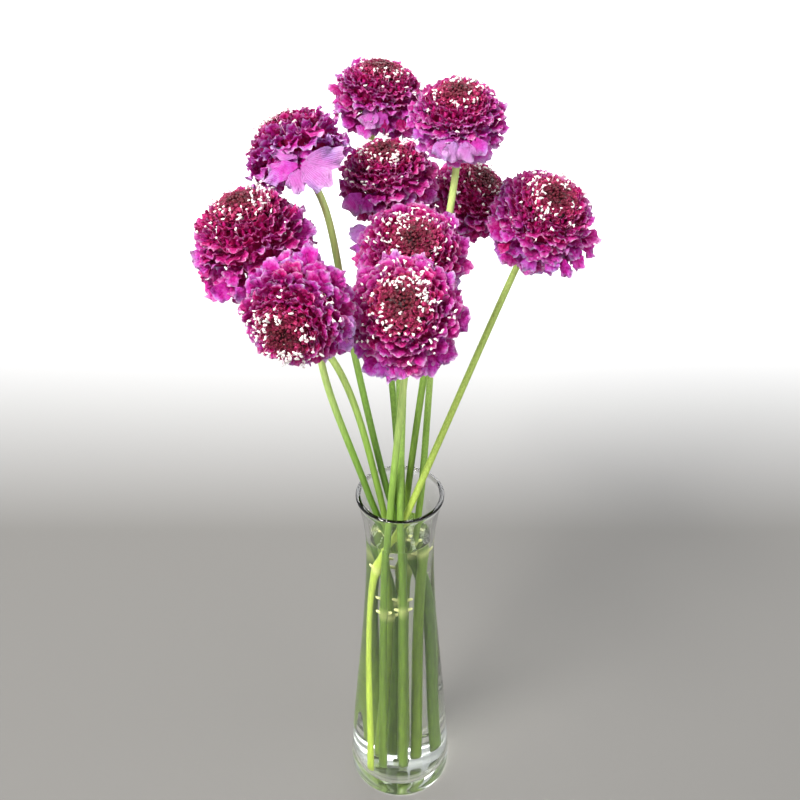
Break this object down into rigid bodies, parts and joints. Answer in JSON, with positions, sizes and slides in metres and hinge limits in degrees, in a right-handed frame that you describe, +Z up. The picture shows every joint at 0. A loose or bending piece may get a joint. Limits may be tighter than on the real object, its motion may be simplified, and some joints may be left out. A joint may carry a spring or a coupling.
{
  "type": "vase of scabiosa flowers",
  "caption": "Slender clear glass bud vase with a flared mouth, holding water and tall cut scabiosa stems with domed, ruffled magenta blooms.",
  "frame": {"origin": "middle of the vase's flat foot, on the surface it stands on", "axes": "+Z up along the vase's axis, -Y towards the side that the blooms face, +X to the right of that side"},
  "size_m": [0.1654, 0.1695, 0.3753],
  "materials": {
    "vase_glass": "polished",
    "water": "polished",
    "stem_green": "satin",
    "floret_magenta": "matte",
    "bud_crimson": "matte",
    "anther_white": "satin"
  },
  "bodies": {
    "root": {"vase": "vase_glass", "water": "water", "stem_01": "stem_green", "florets_01": "floret_magenta", "buds_01": "bud_crimson", "stem_02": "stem_green", "florets_02": "floret_magenta", "buds_02": "bud_crimson", "stem_03": "stem_green", "florets_03": "floret_magenta", "buds_03": "bud_crimson", "stem_04": "stem_green", "florets_04": "floret_magenta", "buds_04": "bud_crimson", "stem_05": "stem_green", "florets_05": "floret_magenta", "buds_05": "bud_crimson", "stem_06": "stem_green", "florets_06": "floret_magenta", "buds_06": "bud_crimson", "stem_07": "stem_green", "florets_07": "floret_magenta", "buds_07": "bud_crimson", "stem_08": "stem_green", "florets_08": "floret_magenta", "buds_08": "bud_crimson", "stem_09": "stem_green", "florets_09": "floret_magenta", "buds_09": "bud_crimson", "stem_10": "stem_green", "florets_10": "floret_magenta", "buds_10": "bud_crimson"}
  },
  "joints": []
}
